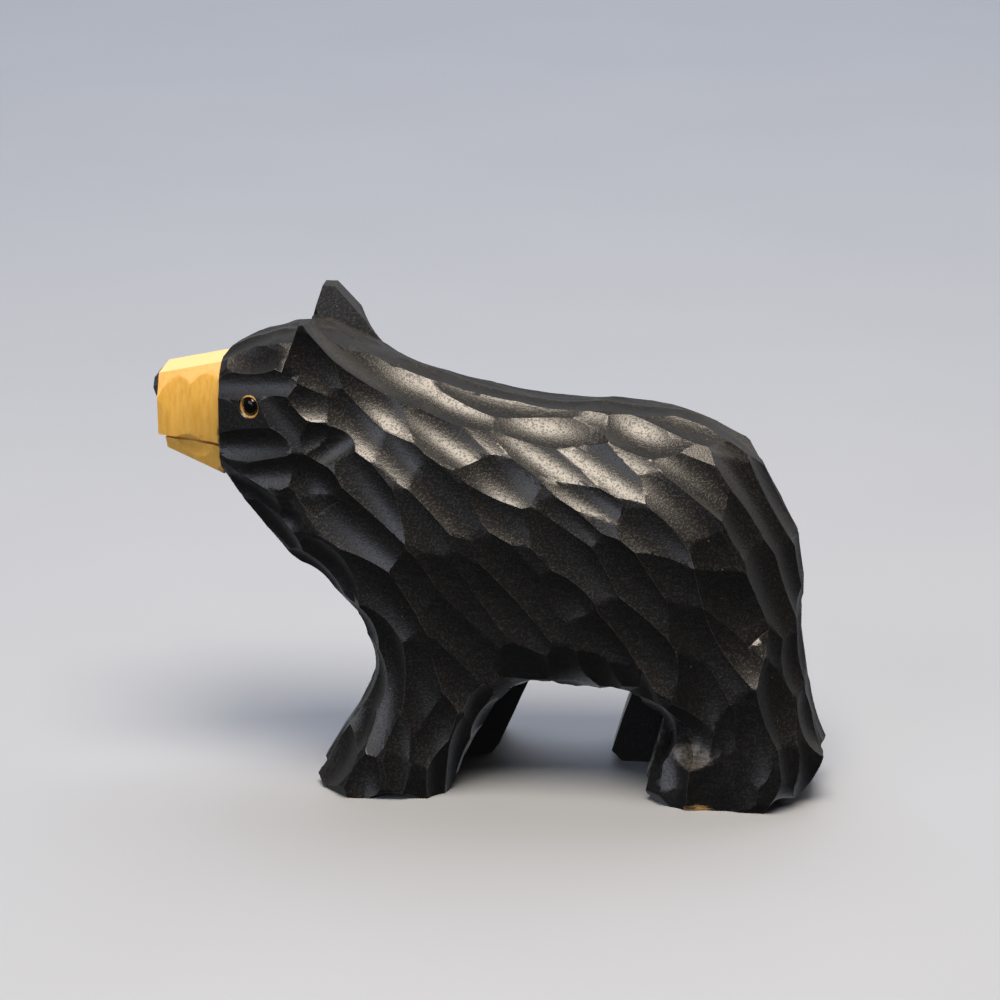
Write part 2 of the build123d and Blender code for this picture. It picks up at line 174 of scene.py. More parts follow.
flank_strokes = [
    (40.4, 44.5, 46.6, 34.9, 4.8), (35.5, 45.6, 43.2, 35.0, 5.1), (28.4, 48.5, 36.4, 39.0, 5.1),
    (48.7, 37.2, 56.9, 26.5, 5.1), (55.5, 35.1, 63.9, 24.2, 5.1), (62.4, 35.6, 70.8, 24.7, 5.1),
    (69.2, 38.8, 77.5, 27.8, 5.1), (75.9, 41.4, 82.8, 32.1, 4.8), (66.1, 42.5, 75.4, 34.9, 5.1),
    (81.0, 44.5, 86.0, 34.7, 4.3), (85.1, 44.2, 89.9, 33.5, 3.7), (40.4, 34.8, 48.7, 23.5, 5.1),
    (48.7, 29.2, 56.8, 17.9, 5.1), (56.9, 26.5, 66.0, 16.0, 5.1), (65.2, 25.6, 75.7, 13.9, 5.1),
]
haunch_strokes = [
    (74.1, 29.9, 82.5, 17.9, 4.8), (79.8, 33.2, 84.6, 24.2, 3.4), (82.0, 29.5, 89.4, 11.5, 5.4),
    (86.2, 29.7, 92.4, 12.1, 4.0), (89.3, 33.8, 91.5, 24.0, 2.8),
]
shoulder_strokes = [
    (24.6, 41.5, 34.9, 34.5, 6.3), (29.1, 33.8, 39.0, 23.3, 5.7), (39.0, 23.3, 47.1, 14.2, 5.1),
    (27.0, 22.0, 36.1, 11.4, 5.7), (30.5, 21.0, 27.5, 4.5, 5.0), (34.5, 14.0, 34.0, 1.5, 5.0),
    (40.5, 17.0, 39.5, 3.0, 5.0),
]
head_strokes = [
    (11.1, 59.3, 19.4, 62.3, 2.6), (11.8, 56.7, 20.7, 57.8, 3.7), (10.9, 52.7, 20.0, 53.6, 3.7),
    (10.8, 48.2, 20.7, 49.8, 3.4), (20.7, 49.8, 26.9, 50.8, 3.1), (24.5, 47.5, 29.8, 51.2, 2.6),
    (13.0, 44.4, 23.4, 46.3, 3.4), (12.0, 42.7, 18.1, 40.2, 2.6), (16.9, 38.4, 23.3, 38.9, 2.6),
    (20.7, 55.8, 28.3, 55.2, 4.3),
]
muzzle_strokes = [
    (3.2, 56.5, 3.4, 50.0, 4.4), (7.6, 57.0, 7.6, 49.5, 4.4), (3.4, 47.6, 8.4, 45.4, 2.4),
]
side_strokes = (neck_strokes + back_strokes + flank_strokes + haunch_strokes + shoulder_strokes
                + head_strokes)


def rows(first_places, across_places, run, lean, width):
    """Strokes in rows: each starts at a first place and runs on by run, leaning across."""
    return [(first, across, first + run, across + lean, width)
            for first in first_places for across in across_places]


def upright(strokes):
    """The same strokes with each pair of places swapped, for a view whose rows run up and down."""
    return [(b, a, d, c, width) for a, b, c, d, width in strokes]


other_strokes = {
    "top": rows((31, 40.5, 50, 59.5, 69, 78), (-1.6, 2.2), 12, -0.6, 4.6)
    + rows((10.5,), (-4.5, 0, 4.5), 8.5, 0.4, 4.2) + rows((18,), (0,), 9, 0.4, 4.2),
    "behind": upright(rows((48, 37.5, 27, 16.5), (-11.5, -6.9, -2.3, 2.3, 6.9, 11.5),
                           -12, 0.8, 4.8)),
    "front": upright(rows((38, 28), (-11, -5.5, 0, 5.5, 11), -11, 0, 5.2)
                     + rows((17, 9), (-14, -8.5, 8.5, 14), -9, 0, 5)),
    "below": rows((11,), (-6, -2, 2, 6), 10, 0, 4)
    + rows((44, 53, 62), (-10, -5, 0, 5, 10), 11, 1, 5),
}


def listed_stroke(view, stroke):
    """The direction looked along, and a listed stroke's start, end and width, in metres."""
    look, first, second = (np.array(axis, float) for axis in views[view])
    zero = nose_x * (first + second) * (1, 0, 0)
    start, end = (zero + (first * stroke[i] + second * stroke[i + 1]) * MM for i in (0, 2))
    return look, start, end, stroke[4] * MM


def mean_skin(block, look, start, end, width):
    """Where a stroke lies on the block: its middle, outward normal, run, length, width and sag.

    Rays are cast at the stroke's footprint, and a sheet that is flat across and parabolic along
    is fitted to where they land, so the cut follows the mean of the wood under it.
    """
    fewest_hits, deepest_step, roughest = 30, 14 * MM, 0.7 * MM
    length = np.linalg.norm(end - start)
    run = (end - start) / length
    across = np.cross(run, look)
    middle = (start + end) / 2
    landed = []
    for p in np.linspace(-0.5, 0.5, 9) * length:
        for q in np.linspace(-0.5, 0.5, 5) * width:
            origin = middle + run * p + across * q - look * far_away
            hit = block.ray_cast(Vector(origin), Vector(look))[0]
            if hit is not None:
                landed.append((p, q, (hit - Vector(origin)).length - far_away))
    if len(landed) < fewest_hits:
        return None
    p, q, deep = np.array(landed).T
    if np.ptp(deep) > deepest_step:
        return None
    sheet = np.stack([np.ones_like(p), p, q, p * p], 1)
    fitted, *_ = np.linalg.lstsq(sheet, deep, rcond=None)
    if np.std(sheet @ fitted - deep) > roughest:
        return None
    drop, slope_along, slope_across, curve = fitted
    normal = slope_along * run + slope_across * across - look
    normal /= np.linalg.norm(normal)
    along = run + slope_along * look
    along /= np.linalg.norm(along)
    stretch_along = math.hypot(1, slope_along)
    stretch_across = math.hypot(1, slope_across)
    return (middle + look * drop, normal, along, length * stretch_along,
            min(width * stretch_across, widest_cut), curve / stretch_along ** 3)


class Cut:
    """One stroke of the gouge: a lens-shaped piece of air laid into the skin.

    Around the middle of the cut, and with x across and y along it, the underside is
    z = -depth + x^2 / 2 R + (rise - sag) y^2, where R is the round of the gouge, rise brings the
    floor up to the skin beyond both ends of the stroke and sag is how the skin itself falls away.
    """
    clear = 1.0 * MM                    # how far the lens's rim stands off the skin
    clear_at_ends = 0.6                 # the share of it that is kept at the two ends
    overrun = 0.95                      # the lens's half length over the stroke's length
    tightest, flattest = 2.6 * MM, 8 * MM       # the rounds of the narrowest and widest gouges
    graze = 0.1 * MM                    # how far the rim may dip into the wood
    lid_gap, highest = 0.5 * MM, 3 * MM         # the lid over the rim, and what a cut can take
    rings, around = 9, 26

    def __init__(self, lie, level, roll):
        self.centre, normal, self.along, length, width, self.sag = lie
        side = np.cross(self.along, normal)
        self.side = side * math.cos(roll) + normal * math.sin(roll)
        self.normal = normal * math.cos(roll) - side * math.sin(roll)
        self.gouge_round = np.clip(1.15 * width, self.tightest, self.flattest)
        self.depth = width ** 2 / (8 * self.gouge_round) + level
        self.half_along = self.overrun * length
        self.rise = (self.depth + self.clear_at_ends * self.clear) / self.half_along ** 2
        self.half_across = math.sqrt(2 * self.gouge_round * (self.depth + self.clear))

    def stands_clear(self, block):
        """Whether the lens's rim stays out of the wood, so that it leaves no wall behind."""
        points = self.lens()[0]
        for point in points[-1 - 2 * self.around:-1 - self.around]:
            nearest, normal, _, gap = block.find_nearest(Vector(point))
            if gap > self.graze and (Vector(point) - nearest).dot(normal) < 0:
                return False
        return True

    def floor(self, x, y):
        """The height of the underside over a place across and along the cut."""
        return -self.depth + x ** 2 / (2 * self.gouge_round) + (self.rise - self.sag) * y ** 2

    def takes(self, points):
        """Which of the points lie in the wood that this cut takes out."""
        x, y, z = np.stack([self.side, self.along, self.normal]) @ (points - self.centre).T
        within = (x / self.half_across) ** 2 + (y / self.half_along) ** 2 < 1
        return within & (z > self.floor(x, y)) & (z < self.highest)

    def lens(self):
        """Its points and faces: ellipses from the middle out, a rim, and a flat lid."""
        turns = np.linspace(0, 2 * math.pi, self.around, endpoint=False)
        out, turn = np.meshgrid(np.linspace(0, 1, self.rings + 1)[1:], turns, indexing="ij")
        x = self.half_across * out * np.cos(turn)
        y = self.half_along * out * np.sin(turn)
        z = self.floor(x, y)
        lid = z[-1].max() + self.lid_gap
        rim = np.stack([x[-1], y[-1], np.full(self.around, lid)], -1)
        local = np.concatenate([[(0, 0, -self.depth)], np.stack([x, y, z], -1).reshape(-1, 3), rim,
                                [(0, 0, lid)]])
        points = self.centre + local @ np.stack([self.side, self.along, self.normal])
        index = 1 + np.arange((self.rings + 1) * self.around).reshape(self.rings + 1, self.around)
        ahead = np.roll(index, -1, axis=1)
        walls = np.stack([index[:-1], ahead[:-1], ahead[1:], index[1:]], -1).reshape(-1, 4)
        middle = np.stack([np.zeros(self.around, int), ahead[0], index[0]], -1)
        top = np.stack([index[-1], ahead[-1], np.full(self.around, len(local) - 1)], -1)
        return points, walls.tolist() + middle.tolist() + top.tolist()


def mesh_object(name, points, faces):
    """A mesh object of its own at the origin."""
    mesh = bpy.data.meshes.new(name)
    mesh.from_pydata(np.asarray(points).tolist(), [], faces)
    return bpy.data.objects.new(name, mesh)


def block_copy(node, name):
    """The CAD solid's surface as one closed mesh of its own."""
    work = bmesh.new()
    work.from_mesh(frame["nodes"][node].data)
    bmesh.ops.remove_doubles(work, verts=work.verts, dist=1e-7)
    mesh = bpy.data.meshes.new(name)
    work.to_mesh(mesh)
    work.free()
    piece = bpy.data.objects.new(name, mesh)
    bpy.context.scene.collection.objects.link(piece)
    return piece


def scattered(piece, count, random):
    """Points spread evenly over the piece's surface, and the normals there."""
    mesh = piece.data
    mesh.calc_loop_triangles()
    corners = np.empty(len(mesh.loop_triangles) * 3, np.int32)
    mesh.loop_triangles.foreach_get("vertices", corners)
    places = np.empty(len(mesh.vertices) * 3, np.float32)
    mesh.vertices.foreach_get("co", places)
    a, b, c = places.reshape(-1, 3)[corners].reshape(-1, 3, 3).transpose(1, 0, 2).astype(float)
    normals = np.cross(b - a, c - a)
    area = np.linalg.norm(normals, axis=1)
    chosen = random.choice(len(area), count, p=area / area.sum())
    u, v = random.random((2, count, 1))
    u, v = np.where(u + v > 1, 1 - u, u), np.where(u + v > 1, 1 - v, v)
    points = a[chosen] + u * (b - a)[chosen] + v * (c - a)[chosen]
    return points, normals[chosen] / area[chosen, None]


def carve(piece, cuts_to_make):
    """Takes a lens out of the piece for every cut, and shades the cuts smooth up to the ridges."""
    batch, ridge_angle = 24, math.radians(9)
    for first in range(0, len(cuts_to_make), batch):
        air = bpy.data.collections.new("air")
        bpy.context.scene.collection.children.link(air)
        for cut in cuts_to_make[first:first + batch]:
            air.objects.link(mesh_object("cut", *cut.lens()))
        carving = piece.modifiers.new("gouge", "BOOLEAN")
        carving.operation = "DIFFERENCE"
        carving.operand_type = "COLLECTION"
        carving.collection = air
        carving.solver = "MANIFOLD"
        graph = bpy.context.evaluated_depsgraph_get()
        carved = bpy.data.meshes.new_from_object(piece.evaluated_get(graph))
        piece.modifiers.clear()
        piece.data = carved
        for cut in list(air.objects):
            bpy.data.objects.remove(cut)
        bpy.data.collections.remove(air)
    carved.name = piece.name
    carved.materials.clear()
    carved.shade_smooth()
    carved.set_sharp_from_angle(angle=ridge_angle)


def strayed(stroke, reach, random):
    """The stroke moved a little, as the far side's cuts differ from the near side's."""
    moved = np.array(stroke, float)
    moved[:4] += np.tile(random.uniform(-reach, reach, 2), 2) + random.uniform(-reach, reach, 4) / 2
    moved[4] *= random.uniform(0.9, 1.1)
    return tuple(moved)


def clear_cut(lie, level, roll, block):
    """A cut whose rim stays out of the wood, shortened until it does, or None."""
    centre, normal, along, length, width, sag = lie
    for shorter in (1, 0.8, 0.64, 0.5):
        cut = Cut((centre, normal, along, length * shorter, width, sag), level, roll)
        if cut.stands_clear(block):
            return cut
    return None


def filling_cuts(piece, block, cuts, settings, random):
    """Cuts laid wherever the listed ones leave the roughed block showing.

    They run back along the spine, slant down over the sides and run straight down the legs, the
    rump and the chest. Soles, ears, eye sockets and the step behind the muzzle are left alone.
    """
    samples, most_cuts = 6000, 260
    near, fewest = 2.2 * MM, 4              # this many uncut samples so near call for a cut
    sole_edge, step_edge, socket_edge = 1.2 * MM, 0.8 * MM, 3.2 * MM
    ear_foot, ear_inside, ear_back = 60.5 * MM, 4 * MM, -15 * MM
    head_end, paw_top, leg_top = -19 * MM, 15 * MM, 22 * MM
    steep, level_ground, hollow = 0.75, 0.85, 0.75
    points, normals = scattered(piece, samples, random)
    left = np.ones(samples, bool)
    for cut in cuts:
        left &= ~cut.takes(points)
    x, y, z = points.T
    left &= (z > sole_edge) & (x > step_x + step_edge)
    left &= ~((z > ear_foot) & (abs(y) > ear_inside) & (x < ear_back))
    for low, high in eye_boxes.values():
        left &= np.linalg.norm(points - (low + high) / 2, axis=1) > socket_edge
    tree = KDTree(samples)
    for i, point in enumerate(points):
        tree.insert(point, i)
    tree.balance()
    pairs = np.array([(i, j) for i, point in enumerate(points)
                      for _, j, _ in tree.find_range(point, near)])
    added = []
    while len(added) < most_cuts:
        # The next cut goes where the most uncut points crowd together.
        crowd = np.bincount(pairs[:, 0], weights=left[pairs[:, 1]], minlength=samples) * left
        i = int(crowd.argmax())
        if crowd[i] < fewest:
            break
        left[i] = False
        on_head_or_paw = x[i] < head_end or z[i] < paw_top
        width = (4.2 if on_head_or_paw else 5.2) * random.uniform(0.85, 1.15) * MM
        faces = block.find_nearest_range(Vector(points[i]), width * 0.7)
        normal = np.sum([np.array(face[1]) for face in faces], axis=0)
        normal /= np.linalg.norm(normal)
        if normal @ normals[i] < hollow:
            continue
        straight_down = z[i] < leg_top or abs(normal[0]) > steep
        flow = np.array((0.15, 0, -1) if straight_down else (1, 0, -1.1 * abs(normal[1])))
        flow = flow - normal * (flow @ normal)
        flow /= np.linalg.norm(flow)
        reach = flow * width * (1.0 if on_head_or_paw else 1.35)
        lie = mean_skin(block, -normal, points[i] - reach, points[i] + reach, width)
        level = settings.level * (0.7 if on_head_or_paw else 1)
        if normal[2] > level_ground:
            level = spine_level
        cut = lie and clear_cut(lie, level * MM, random.uniform(-1, 1) * settings.roll, block)
        if cut:
            added.append(cut)
            left &= ~cut.takes(points)
    return added


# ---- Materials --------------------------------------------------------------------------------
def add(tree, kind, values=None, links=None, **settings):
    """Adds a node, sets its settings and its sockets' values, and links its sockets."""
    made = tree.nodes.new(kind)
    for key, value in settings.items():
        setattr(made, key, value)
    for socket, value in (values or {}).items():
        made.inputs[socket].default_value = value
    for socket, source in (links or {}).items():
        tree.links.new(source, made.inputs[socket])
    return made


def per_mm(size):
    """A pattern scale, per metre, whose features are about size millimetres across."""
    return 1 / (size * MM)


def empty_material(name):
    """A new material with nothing in it, and its node tree."""
    material = bpy.data.materials.new(name)
    material.use_nodes = True
    material.node_tree.nodes.clear()
    return material, material.node_tree


def black_paint(paint):
    """Satin black acrylic brushed thin on cut linden.

    The paint dries to a soft sheen that shows the gouge's tracks as fine dark streaks, is painted
    grey along the ridges, partly as paint thinned by wear and partly as a painted highlight, and
    leaves pin-sized misses where the pores of the wood show.
    """
    material, tree = empty_material("brushed_black_acrylic_on_carved_linden")
    place = add(tree, "ShaderNodeTexCoord").outputs["Object"]
    # The tracks are stretched along the slant of the flank's cuts, and both they and the paint's
    # pits are drawn coarser than they are, so that they show.
    tracks = add(tree, "ShaderNodeMapping",
                 {"Rotation": (0, math.radians(48), 0), "Scale": (0.22, 1, 1)}, {"Vector": place})
    streaks = add(tree, "ShaderNodeTexNoise",
                  {"Scale": per_mm(0.55), "Detail": 3, "Roughness": 0.65},
                  {"Vector": tracks.outputs[0]})
    pits = add(tree, "ShaderNodeTexNoise", {"Scale": per_mm(0.32), "Detail": 2, "Roughness": 0.5},
               {"Vector": place})
    patches = add(tree, "ShaderNodeTexNoise", {"Scale": per_mm(9), "Detail": 2}, {"Vector": place})
    pit_mask = add(tree, "ShaderNodeMapRange", {1: 0.5, 2: 0.64}, {0: pits.outputs[0]})
    streak_mask = add(tree, "ShaderNodeMapRange", {1: 0.42, 2: 0.62}, {0: streaks.outputs[0]})
    # Pin-sized misses: dots in a fifth of the cells, where the paint is patchy.
    cells = add(tree, "ShaderNodeTexVoronoi", {"Scale": per_mm(1.0), "Randomness": 1},
                {"Vector": place})
    chance = add(tree, "ShaderNodeSeparateColor", None, {0: cells.outputs["Color"]})
    size = add(tree, "ShaderNodeMapRange", {3: 0.05, 4: 0.11}, {0: chance.outputs[1]})
    dot = add(tree, "ShaderNodeMath", None, {0: cells.outputs["Distance"], 1: size.outputs[0]},
              operation="LESS_THAN")
    chosen = add(tree, "ShaderNodeMath", {1: 0.8}, {0: chance.outputs[0]},
                 operation="GREATER_THAN")
    patchy = add(tree, "ShaderNodeMapRange", {1: 0.42, 2: 0.6}, {0: patches.outputs[0]})
    dots = add(tree, "ShaderNodeMath", None, {0: dot.outputs[0], 1: chosen.outputs[0]},
               operation="MULTIPLY")
    dots = add(tree, "ShaderNodeMath", None, {0: dots.outputs[0], 1: patchy.outputs[0]},
               operation="MULTIPLY")
    # Ridges painted grey, partly paint thinned by wear and partly a painted highlight: where a
    # rounded normal leans away from the true one.
    rounded = add(tree, "ShaderNodeBevel", {"Radius": 0.14 * MM}, samples=6)
    true = add(tree, "ShaderNodeNewGeometry")
    lean = add(tree, "ShaderNodeVectorMath", None,
               {0: rounded.outputs[0], 1: true.outputs["Normal"]}, operation="DOT_PRODUCT")
    ridge_wear_and_highlight = add(tree, "ShaderNodeMapRange", {1: 0.995, 2: 0.93, 3: 0, 4: 0.5},
                {0: lean.outputs["Value"]})
    base = add(tree, "ShaderNodeMix", {6: rgba(paint.black), 7: rgba(linear("#13100f"))},
               {0: streak_mask.outputs[0]}, data_type="RGBA")
    # The ridges' grey goes in here: partly paint thinned by wear, partly a painted highlight.
    worn_and_highlight = add(tree, "ShaderNodeMix", {7: rgba(paint.rubbed_and_highlight)},
               {0: ridge_wear_and_highlight.outputs[0], 6: base.outputs[2]}, data_type="RGBA")
    colour = add(tree, "ShaderNodeMix", {7: rgba(linear("#6b5334"))},
                 {0: dots.outputs[0], 6: worn_and_highlight.outputs[2]}, data_type="RGBA")
    # Bare wood in a ring round each bead's axis, out to a soft edge and near the bead only.
    ring_sharp, ring_soft, ring_depth = 1.48 * MM, 1.62 * MM, 4 * MM
    for low, high in eye_boxes.values():
        middle = (low + high) / 2
        side = -1 if middle.y < 0 else 1
        axis = Vector((-math.sin(eye_turn), side * math.cos(eye_turn), 0))
        away = add(tree, "ShaderNodeVectorMath", {1: middle}, {0: place}, operation="SUBTRACT")
        crossed = add(tree, "ShaderNodeVectorMath", {1: axis}, {0: away.outputs[0]},
                      operation="CROSS_PRODUCT")
        radius = add(tree, "ShaderNodeVectorMath", None, {0: crossed.outputs[0]},
                     operation="LENGTH")
        gap = add(tree, "ShaderNodeVectorMath", None, {0: away.outputs[0]}, operation="LENGTH")
        ring = add(tree, "ShaderNodeMapRange", {1: ring_soft, 2: ring_sharp},
                   {0: radius.outputs["Value"]})
        close = add(tree, "ShaderNodeMath", {1: ring_depth}, {0: gap.outputs["Value"]},
                    operation="LESS_THAN")
        bare = add(tree, "ShaderNodeMath", None, {0: ring.outputs[0], 1: close.outputs[0]},
                   operation="MULTIPLY")
        colour = add(tree, "ShaderNodeMix", {7: rgba(paint.linden)},
                     {0: bare.outputs[0], 6: colour.outputs[2]}, data_type="RGBA")
    # Torn fibres, rubbed pale, on the left hind instep, and a chip of bare wood under it: each a
    # flattened round of so many millimetres, made ragged by the streaks.
    fibres = add(tree, "ShaderNodeMapRange", {1: 0.35, 2: 0.6, 3: 0.15}, {0: streaks.outputs[0]})
    for spot, reach, shade, amount in ((instep_tear, 3.0, "#8d867a", 0.32),
                                       (sole_chip, 1.6, "#c39a58", 0.9)):
        away = add(tree, "ShaderNodeVectorMath", {1: spot}, {0: place}, operation="SUBTRACT")
        flat = add(tree, "ShaderNodeVectorMath", {1: (0.8, 1, 1.7)}, {0: away.outputs[0]},
                   operation="MULTIPLY")
        gap = add(tree, "ShaderNodeVectorMath", None, {0: flat.outputs[0]}, operation="LENGTH")
        ragged = add(tree, "ShaderNodeMath", {1: 3.5 * MM},
                     {0: streaks.outputs[0], 2: gap.outputs["Value"]}, operation="MULTIPLY_ADD")
        torn = add(tree, "ShaderNodeMapRange",
                   {1: (reach + 1.9) * MM, 2: (reach + 1.5) * MM, 4: 0.8}, {0: ragged.outputs[0]})
        torn = add(tree, "ShaderNodeMath", {1: amount}, {0: torn.outputs[0]},
                   operation="MULTIPLY")
        torn = add(tree, "ShaderNodeMath", None, {0: torn.outputs[0], 1: fibres.outputs[0]},
                   operation="MULTIPLY")
        colour = add(tree, "ShaderNodeMix", {7: rgba(linear(shade))},
                     {0: torn.outputs[0], 6: colour.outputs[2]}, data_type="RGBA")
    # The sheen breaks up in the pits, and the pits and tracks stand in low relief.
    sheen = add(tree, "ShaderNodeMapRange", {1: 0, 2: 1, 3: 0.34, 4: 0.5},
                {0: pit_mask.outputs[0]})
    height = add(tree, "ShaderNodeMath", {1: -0.6}, {0: pit_mask.outputs[0], 2: streaks.outputs[0]},
                 operation="MULTIPLY_ADD")
    bump = add(tree, "ShaderNodeBump", {"Strength": 0.2, "Distance": 0.08 * MM},
               {"Height": height.outputs[0]})
    shader = add(tree, "ShaderNodeBsdfPrincipled", {"IOR": 1.48, "Specular IOR Level": 0.85},
                 {"Base Color": colour.outputs[2], "Roughness": sheen.outputs[0],
                  "Normal": bump.outputs[0]})
    add(tree, "ShaderNodeOutputMaterial", None, {0: shader.outputs[0]})
    return material


def ochre_paint(paint):
    """Ochre acrylic brushed on cut linden.

    The brush marks run upright, faces that turn upwards are painted paler as a painted highlight
    of light from above, and the head's black is feathered over it low down at the back.
    """
    material, tree = empty_material("brushed_ochre_acrylic_on_cut_linden")
    place = add(tree, "ShaderNodeTexCoord").outputs["Object"]
    marks = add(tree, "ShaderNodeMapping", {"Scale": (1, 1, 0.12)}, {"Vector": place})
    grain = add(tree, "ShaderNodeTexNoise", {"Scale": per_mm(0.5), "Detail": 3, "Roughness": 0.6},
                {"Vector": marks.outputs[0]})
    mottle = add(tree, "ShaderNodeTexNoise", {"Scale": per_mm(2.5), "Detail": 3}, {"Vector": place})
    true = add(tree, "ShaderNodeNewGeometry")
    way = add(tree, "ShaderNodeSeparateXYZ", None, {0: true.outputs["Normal"]})
    spot = add(tree, "ShaderNodeSeparateXYZ", None, {0: place})
    # Painted highlight: faces that turn upwards are mixed towards the paler ochre, as if lit from
    # above.
    up = add(tree, "ShaderNodeMapRange", {1: 0.35, 2: 0.85}, {0: way.outputs["Z"]})
    brushed = add(tree, "ShaderNodeMapRange", {1: 0.4, 2: 0.7}, {0: grain.outputs[0]})
    base = add(tree, "ShaderNodeMix", {6: rgba(paint.ochre), 7: rgba(linear("#c8963a"))},
               {0: brushed.outputs[0]}, data_type="RGBA")
    bridge = add(tree, "ShaderNodeMix", {7: rgba(paint.ochre_painted_highlight)},
                 {0: up.outputs[0], 6: base.outputs[2]}, data_type="RGBA")
    # Black feathered over the back edge: its reach grows towards the jaw and follows the mottle.
    reach = add(tree, "ShaderNodeMath", {1: 3.2 * MM, 2: -1.25 * MM}, {0: mottle.outputs[0]},
                operation="MULTIPLY_ADD")
    lower = add(tree, "ShaderNodeMapRange", {1: 54 * MM, 2: 47 * MM, 3: 0.0, 4: 1.6},
                {0: spot.outputs["Z"]})
    reach = add(tree, "ShaderNodeMath", None, {0: reach.outputs[0], 1: lower.outputs[0]},
                operation="MULTIPLY")
    edge = add(tree, "ShaderNodeMath", {0: step_x}, {1: reach.outputs[0]}, operation="SUBTRACT")
    past = add(tree, "ShaderNodeMath", None, {0: spot.outputs["X"], 1: edge.outputs[0]},
               operation="SUBTRACT")
    feather = add(tree, "ShaderNodeMapRange", {1: -0.25 * MM, 2: 0.35 * MM, 4: 0.85},
                  {0: past.outputs[0]})
    colour = add(tree, "ShaderNodeMix", {7: rgba(linear("#241f1a"))},
                 {0: feather.outputs[0], 6: bridge.outputs[2]}, data_type="RGBA")
    bump = add(tree, "ShaderNodeBump", {"Strength": 0.4, "Distance": 0.08 * MM},
               {"Height": grain.outputs[0]})
    shader = add(tree, "ShaderNodeBsdfPrincipled",
                 {"IOR": 1.48, "Roughness": 0.55, "Specular IOR Level": 0.3},
                 {"Base Color": colour.outputs[2], "Normal": bump.outputs[0]})
    add(tree, "ShaderNodeOutputMaterial", None, {0: shader.outputs[0]})
    return material


def nose_paint():
    """Black acrylic dabbed on the end of the muzzle: thick, a little glossier, and uneven."""
    material, tree = empty_material("dabbed_black_acrylic")
    place = add(tree, "ShaderNodeTexCoord").outputs["Object"]
    dabs = add(tree, "ShaderNodeTexNoise", {"Scale": per_mm(0.9), "Detail": 2}, {"Vector": place})
    base = add(tree, "ShaderNodeMix", {6: rgba(linear("#0d0c0c")), 7: rgba(linear("#231d19"))},
               {0: dabs.outputs[0]}, data_type="RGBA")
    bump = add(tree, "ShaderNodeBump", {"Strength": 0.4, "Distance": 0.1 * MM},
               {"Height": dabs.outputs[0]})
    shader = add(tree, "ShaderNodeBsdfPrincipled", {"IOR": 1.48, "Roughness": 0.38},
                 {"Base Color": base.outputs[2], "Normal": bump.outputs[0]})
    add(tree, "ShaderNodeOutputMaterial", None, {0: shader.outputs[0]})
    return material


def bead_gloss():
    """A moulded black bead: smooth and glossy, with the faint haze of handling."""
    material, tree = empty_material("moulded_black_gloss_bead")
    place = add(tree, "ShaderNodeTexCoord").outputs["Object"]
    haze = add(tree, "ShaderNodeTexNoise", {"Scale": per_mm(0.7), "Detail": 2}, {"Vector": place})
    polish = add(tree, "ShaderNodeMapRange", {1: 0.3, 2: 0.7, 3: 0.05, 4: 0.16},
                 {0: haze.outputs[0]})
    shader = add(tree, "ShaderNodeBsdfPrincipled",
                 {"Base Color": rgba(linear("#050506")), "IOR": 1.5},
                 {"Roughness": polish.outputs[0]})
    add(tree, "ShaderNodeOutputMaterial", None, {0: shader.outputs[0]})
    return material


def backdrop_paper(paint):
    """Matt paper: one pale grey with the faintest mottle."""
    material, tree = empty_material("matt_grey_backdrop_paper")
    place = add(tree, "ShaderNodeTexCoord").outputs["Object"]
    mottle = add(tree, "ShaderNodeTexNoise", {"Scale": per_mm(60), "Detail": 2}, {"Vector": place})
    shade = add(tree, "ShaderNodeMix", {6: rgba(paint.backdrop), 7: rgba(linear("#989ca3"))},
                {0: mottle.outputs[0]}, data_type="RGBA")
    shader = add(tree, "ShaderNodeBsdfPrincipled", {"Roughness": 0.6, "Specular IOR Level": 0.25},
                 {"Base Color": shade.outputs[2]})
    add(tree, "ShaderNodeOutputMaterial", None, {0: shader.outputs[0]})
    return material


# ---- Operators --------------------------------------------------------------------------------
class BEAR_OT_carve_body(bpy.types.Operator):
    """Goes over the roughed block with the gouge and paints it black"""
    bl_idname = "bear.carve_body"
    bl_label = "Carve the body"

    def execute(self, context):
        settings = context.scene.bear_carving
        random = np.random.default_rng(settings.seed)
        piece = block_copy("carved_body", "gouged_body")
        block = BVHTree.FromObject(piece, context.evaluated_depsgraph_get())
        strokes = [("left", stroke) for stroke in side_strokes]
        strokes += [("right", strayed(stroke, settings.wander, random)) for stroke in side_strokes]
        for view, listed in other_strokes.items():
            strokes += [(view, strayed(stroke, settings.wander, random)) for stroke in listed]
        cuts = []
        for view, stroke in strokes:
            lie = mean_skin(block, *listed_stroke(view, stroke))
            roll = random.uniform(-1, 1) * settings.roll
            level = (spine_level if view == "top" else settings.level) * MM
            cut = lie and clear_cut(lie, level, roll, block)
            if cut:
                cuts.append(cut)
        cuts += filling_cuts(piece, block, cuts, settings, random)
        carve(piece, cuts)
        piece.data.materials.append(black_paint(context.scene.bear_paint))
        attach(piece, "root")
        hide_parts("carved_body")
        return {"FINISHED"}


